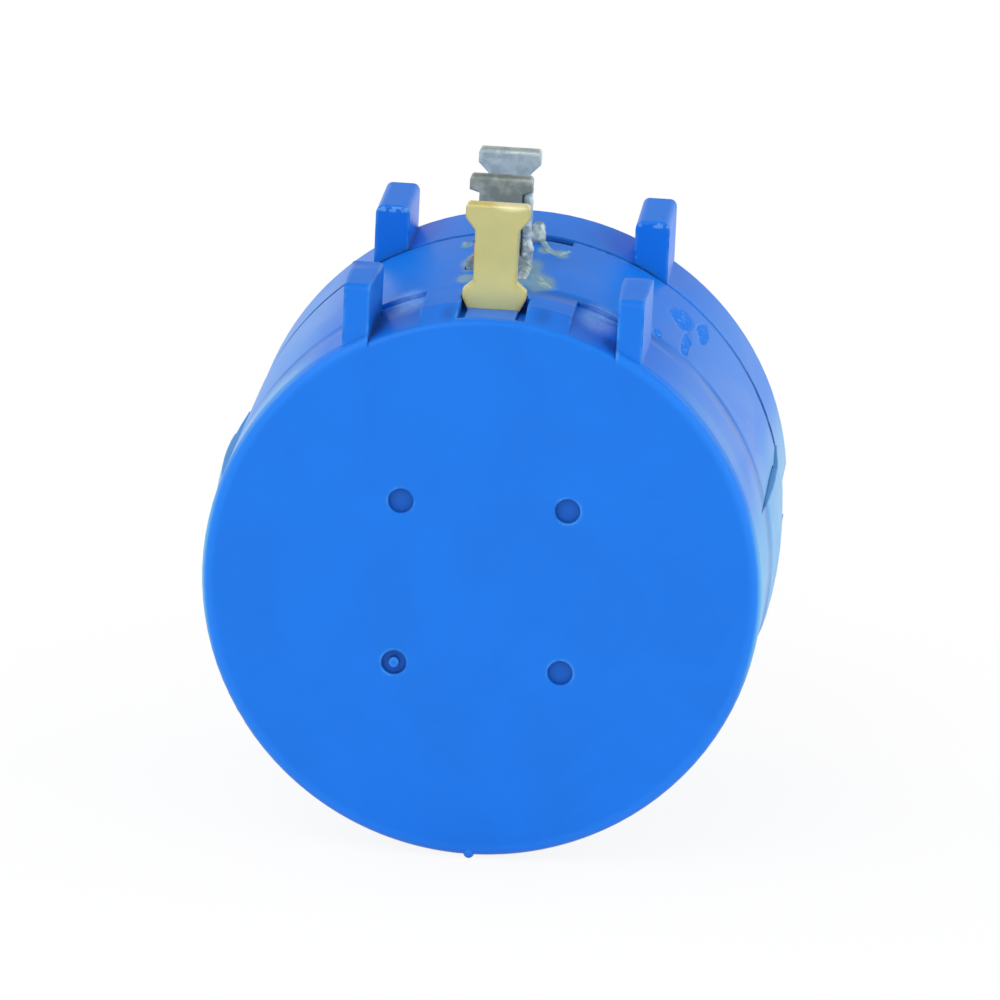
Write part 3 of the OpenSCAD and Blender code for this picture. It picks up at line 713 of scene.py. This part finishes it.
def wire_winding():
    material, tree, shader = part_material("resistance_wire")
    wires_per_turn = 700
    round_axis = tree.nodes.new("ShaderNodeTexGradient")
    round_axis.gradient_type = "RADIAL"
    tree.links.new(place_on(tree, turn=(90, 0, 0)), round_axis.inputs["Vector"])
    wave = figure(tree, "SINE", product(tree, round_axis.outputs["Fac"], 2 * pi * wires_per_turn))
    ridge = graded(tree, wave, -1, 1)
    stain = use_effect(tree, blotches, Size=2.0)["Mask"]
    wire = tinted(tree, stain, (0.52, 0.46, 0.40, 1), (0.40, 0.35, 0.31, 1))
    coat(tree, shader, tinted(tree, ridge, (0.20, 0.09, 0.04, 1), wire),
         graded(tree, ridge, 0, 1, 0.5, 0.3), raised(tree, ridge, 0.02))
    tree.links.new(ridge, shader.inputs["Metallic"])
    return material


dress(wire_winding(), "element_coil")


# ---- The floor ----
# A plain pale sheet that the case stands on, which keeps a soft shadow of it. It is white to the
# eye and in polished metal.

def pale_floor():
    material = bpy.data.materials.new("pale_floor")
    material.use_nodes = True
    tree = material.node_tree
    tree.nodes.clear()
    paper = tree.nodes.new("ShaderNodeBsdfDiffuse")
    paper.inputs["Color"].default_value = (0.86, 0.86, 0.86, 1)
    glow = tree.nodes.new("ShaderNodeEmission")
    seen = tree.nodes.new("ShaderNodeLightPath")
    looked_at = strongest(tree, *(seen.outputs[f"Is {kind} Ray"]
                                  for kind in ("Camera", "Glossy", "Transmission")))
    white_share = 0.9
    mix = tree.nodes.new("ShaderNodeMixShader")
    tree.links.new(product(tree, looked_at, white_share), mix.inputs[0])
    tree.links.new(paper.outputs[0], mix.inputs[1])
    tree.links.new(glow.outputs[0], mix.inputs[2])
    tree.links.new(mix.outputs[0], tree.nodes.new("ShaderNodeOutputMaterial").inputs["Surface"])
    return material


half_side, case_bottom = 3.0, cad_box[0][2]
sheet = bmesh.new()
bmesh.ops.create_grid(sheet, x_segments=1, y_segments=1, size=half_side,
                      matrix=Matrix.Translation((0, 0, case_bottom)))
floor_mesh = bpy.data.meshes.new("floor")
sheet.to_mesh(floor_mesh)
sheet.free()
floor_mesh.materials.append(pale_floor())
floor = bpy.data.objects.new("floor", floor_mesh)
bpy.context.collection.objects.link(floor)


# ---- Light ----
# A broad lamp high on the left of the camera, a weak one on the right, two behind that brighten
# the flanks, and an even pale room.

def soft_lamp(name, place, watts, size, colour=(1, 1, 1)):
    """A square lamp that looks at the middle of the case."""
    lamp = bpy.data.lights.new(name, "AREA")
    lamp.color = colour
    lamp.energy = watts
    lamp.size = size
    holder = bpy.data.objects.new(name, lamp)
    bpy.context.collection.objects.link(holder)
    case_middle = Vector((0, -8, 2)) * MM
    facing = (case_middle - Vector(place)).to_track_quat("-Z", "Y").to_matrix().to_4x4()
    holder.matrix_world = Matrix.Translation(place) @ facing


straw = (0.96, 1.0, 0.86)
soft_lamp("key", (-0.24, -0.42, 0.40), watts=1.5, size=0.5)
soft_lamp("fill", (0.45, -0.30, 0.12), watts=0.7, size=0.4)
soft_lamp("left_rear", (-0.46, 0.18, 0.28), watts=1.2, size=0.4, colour=straw)
soft_lamp("right_rear", (0.46, 0.18, 0.24), watts=1.2, size=0.4, colour=straw)


def pale_room():
    """White to the eye and pale to metal, with a greyer ceiling; its even light is weaker."""
    world = bpy.data.worlds.new("pale_room")
    world.use_nodes = True
    tree = world.node_tree
    room = tree.nodes["Background"]
    room.inputs["Color"].default_value = (1, 1, 1, 1)
    direction = tree.nodes.new("ShaderNodeTexCoord").outputs["Generated"]
    ceiling = graded(tree, along_axes(tree, direction)["Z"], 0.0, 0.25, 1.0, 0.2)
    seen = tree.nodes.new("ShaderNodeLightPath").outputs
    even_light = 0.68
    strength = tree.nodes.new("ShaderNodeMix")
    polished = strongest(tree, seen["Is Glossy Ray"], seen["Is Transmission Ray"])
    feed(tree, strength.inputs[0], polished)
    feed(tree, strength.inputs[2], even_light)
    feed(tree, strength.inputs[3], ceiling)
    tree.links.new(strongest(tree, strength.outputs[0], seen["Is Camera Ray"]),
                   room.inputs["Strength"])
    bpy.context.scene.world = world


pale_room()
bpy.context.scene.view_settings.view_transform = "Standard"


# ---- Camera ----
# A long lens 0.4 m behind the case, a little above it and to its right. It is tipped to one side
# by a few degrees.

def camera():
    stand = Vector((0.02757, -0.40454, 0.10318))
    aside, above, lean = radians(4.0), radians(14.45), radians(2.65)
    back = Vector((sin(aside) * cos(above), -cos(aside) * cos(above), sin(above)))
    right = (-back).cross(Vector((0, 0, 1))).normalized()
    up = right.cross(-back)
    leaned_right = right * cos(lean) + up * sin(lean)
    leaned_up = up * cos(lean) - right * sin(lean)
    lens = bpy.data.cameras.new("camera")
    lens.sensor_width = 36
    lens.lens = 364.1
    lens.clip_end = 10
    eye = bpy.data.objects.new("camera", lens)
    bpy.context.collection.objects.link(eye)
    turn = Matrix((leaned_right, leaned_up, back)).transposed().to_4x4()
    eye.matrix_world = Matrix.Translation(stand) @ turn
    bpy.context.scene.camera = eye


camera()
